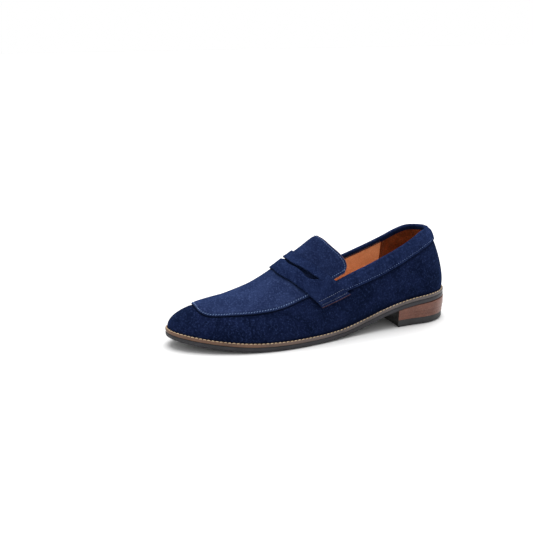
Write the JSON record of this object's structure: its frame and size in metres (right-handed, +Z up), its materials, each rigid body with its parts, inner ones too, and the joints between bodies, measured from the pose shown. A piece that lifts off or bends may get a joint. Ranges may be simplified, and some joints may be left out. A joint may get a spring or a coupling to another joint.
{
  "type": "penny loafer",
  "caption": "Men's slip-on loafer for the left foot in navy suede, with a raised apron, a slotted saddle strap, a free tongue, a stitched welt and a low stacked heel.",
  "frame": {"origin": "on the floor under the middle of the sole's length and width", "axes": "+Z up, toe towards -Y, outer side of the left foot towards +X"},
  "size_m": [0.0969, 0.3, 0.0971],
  "materials": {
    "suede_navy": "brushed suede nap",
    "suede_navy_light": "brushed suede nap, lit from above",
    "thread_blue": "waxed thread",
    "thread_cream": "waxed thread",
    "lining_tan": "smooth full-grain leather, semi-matt",
    "lining_brown": "fine suede-side leather",
    "welt_leather": "burnished edge",
    "outsole_dark": "matt with a faint sheen",
    "heel_stack": "polished stacked leather",
    "heel_rubber": "matt rubber",
    "board": "raw fibre board",
    "cork": "cork paste",
    "stiffener": "raw thermoplastic sheet",
    "steel": "plain steel"
  },
  "bodies": {
    "shoe": {"wall": "suede_navy", "collar": "suede_navy", "strap": "suede_navy", "apron": "suede_navy_light", "apron_stitching": "thread_blue", "collar_stitching": "thread_blue", "strap_stitching_outer_1": "thread_blue", "strap_stitching_outer_2": "thread_blue", "strap_stitching_inner_1": "thread_blue", "strap_stitching_inner_2": "thread_blue", "welt_stitching": "thread_cream", "vamp_lining": "lining_tan", "lining_outer": "lining_tan", "lining_inner": "lining_tan", "sock_liner": "lining_tan", "heel_lining": "lining_brown", "welt": "welt_leather", "outsole": "outsole_dark", "heel_lift_1": "heel_stack", "heel_lift_2": "heel_stack", "heel_lift_3": "heel_stack", "top_lift": "heel_rubber", "insole": "board", "insole_rib": "board", "cork_filler": "cork", "heel_pad": "cork", "toe_puff": "stiffener", "heel_counter": "stiffener", "shank": "steel", "heel_nail_1": "steel", "heel_nail_2": "steel", "heel_nail_3": "steel", "heel_nail_4": "steel", "heel_nail_5": "steel"},
    "tongue": {"tongue": "suede_navy_light", "tongue_lining": "lining_tan", "tongue_stitching": "thread_blue"}
  },
  "joints": [
    {"name": "tongue_lift", "type": "hinge", "parent": "shoe", "child": "tongue", "pos_m": [-0.0023, -0.0145, 0.0815], "axis": [1, 0, 0], "range_deg": [0, 25], "stiffness_Nm_per_rad": 0.08}
  ]
}
